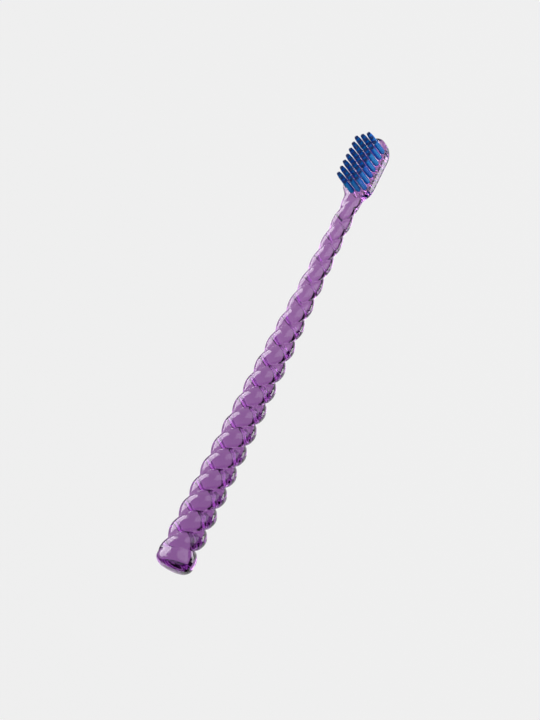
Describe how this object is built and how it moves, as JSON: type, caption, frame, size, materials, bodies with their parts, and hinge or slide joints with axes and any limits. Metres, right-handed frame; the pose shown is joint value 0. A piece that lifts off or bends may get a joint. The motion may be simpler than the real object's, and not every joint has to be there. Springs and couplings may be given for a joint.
{
  "type": "manual toothbrush",
  "caption": "Manual toothbrush with a clear tinted one-piece handle of two twisted strands, a small oval head and staggered nylon tufts held by flat metal anchors",
  "frame": {"origin": "centre of the flat butt face, on the axis of the twisted grip", "axes": "+X along the brush from the butt to the toe of the head, +Z along the bristles, +Y to the left when looking along +X with the bristles up"},
  "size_m": [0.1735, 0.0142, 0.017],
  "materials": {
    "clear_purple": "clear purple tinted plastic, polished mould finish",
    "blue_nylon": "royal blue nylon filaments, trimmed and rounded ends",
    "anchor_metal": "cut nickel silver wire, bright"
  },
  "bodies": {
    "root": {"handle": "clear_purple", "tuft_outer_left_1": "blue_nylon", "tuft_outer_left_2": "blue_nylon", "tuft_outer_left_3": "blue_nylon", "tuft_outer_left_4": "blue_nylon", "tuft_outer_left_5": "blue_nylon", "tuft_outer_left_6": "blue_nylon", "tuft_outer_left_7": "blue_nylon", "tuft_inner_left_1": "blue_nylon", "tuft_inner_left_2": "blue_nylon", "tuft_inner_left_3": "blue_nylon", "tuft_inner_left_4": "blue_nylon", "tuft_inner_left_5": "blue_nylon", "tuft_inner_left_6": "blue_nylon", "tuft_inner_left_7": "blue_nylon", "tuft_inner_left_8": "blue_nylon", "tuft_middle_1": "blue_nylon", "tuft_middle_2": "blue_nylon", "tuft_middle_3": "blue_nylon", "tuft_middle_4": "blue_nylon", "tuft_middle_5": "blue_nylon", "tuft_middle_6": "blue_nylon", "tuft_middle_7": "blue_nylon", "tuft_middle_8": "blue_nylon", "tuft_middle_9": "blue_nylon", "tuft_inner_right_1": "blue_nylon", "tuft_inner_right_2": "blue_nylon", "tuft_inner_right_3": "blue_nylon", "tuft_inner_right_4": "blue_nylon", "tuft_inner_right_5": "blue_nylon", "tuft_inner_right_6": "blue_nylon", "tuft_inner_right_7": "blue_nylon", "tuft_inner_right_8": "blue_nylon", "tuft_outer_right_1": "blue_nylon", "tuft_outer_right_2": "blue_nylon", "tuft_outer_right_3": "blue_nylon", "tuft_outer_right_4": "blue_nylon", "tuft_outer_right_5": "blue_nylon", "tuft_outer_right_6": "blue_nylon", "tuft_outer_right_7": "blue_nylon", "tuft_anchors": "anchor_metal"}
  },
  "joints": []
}
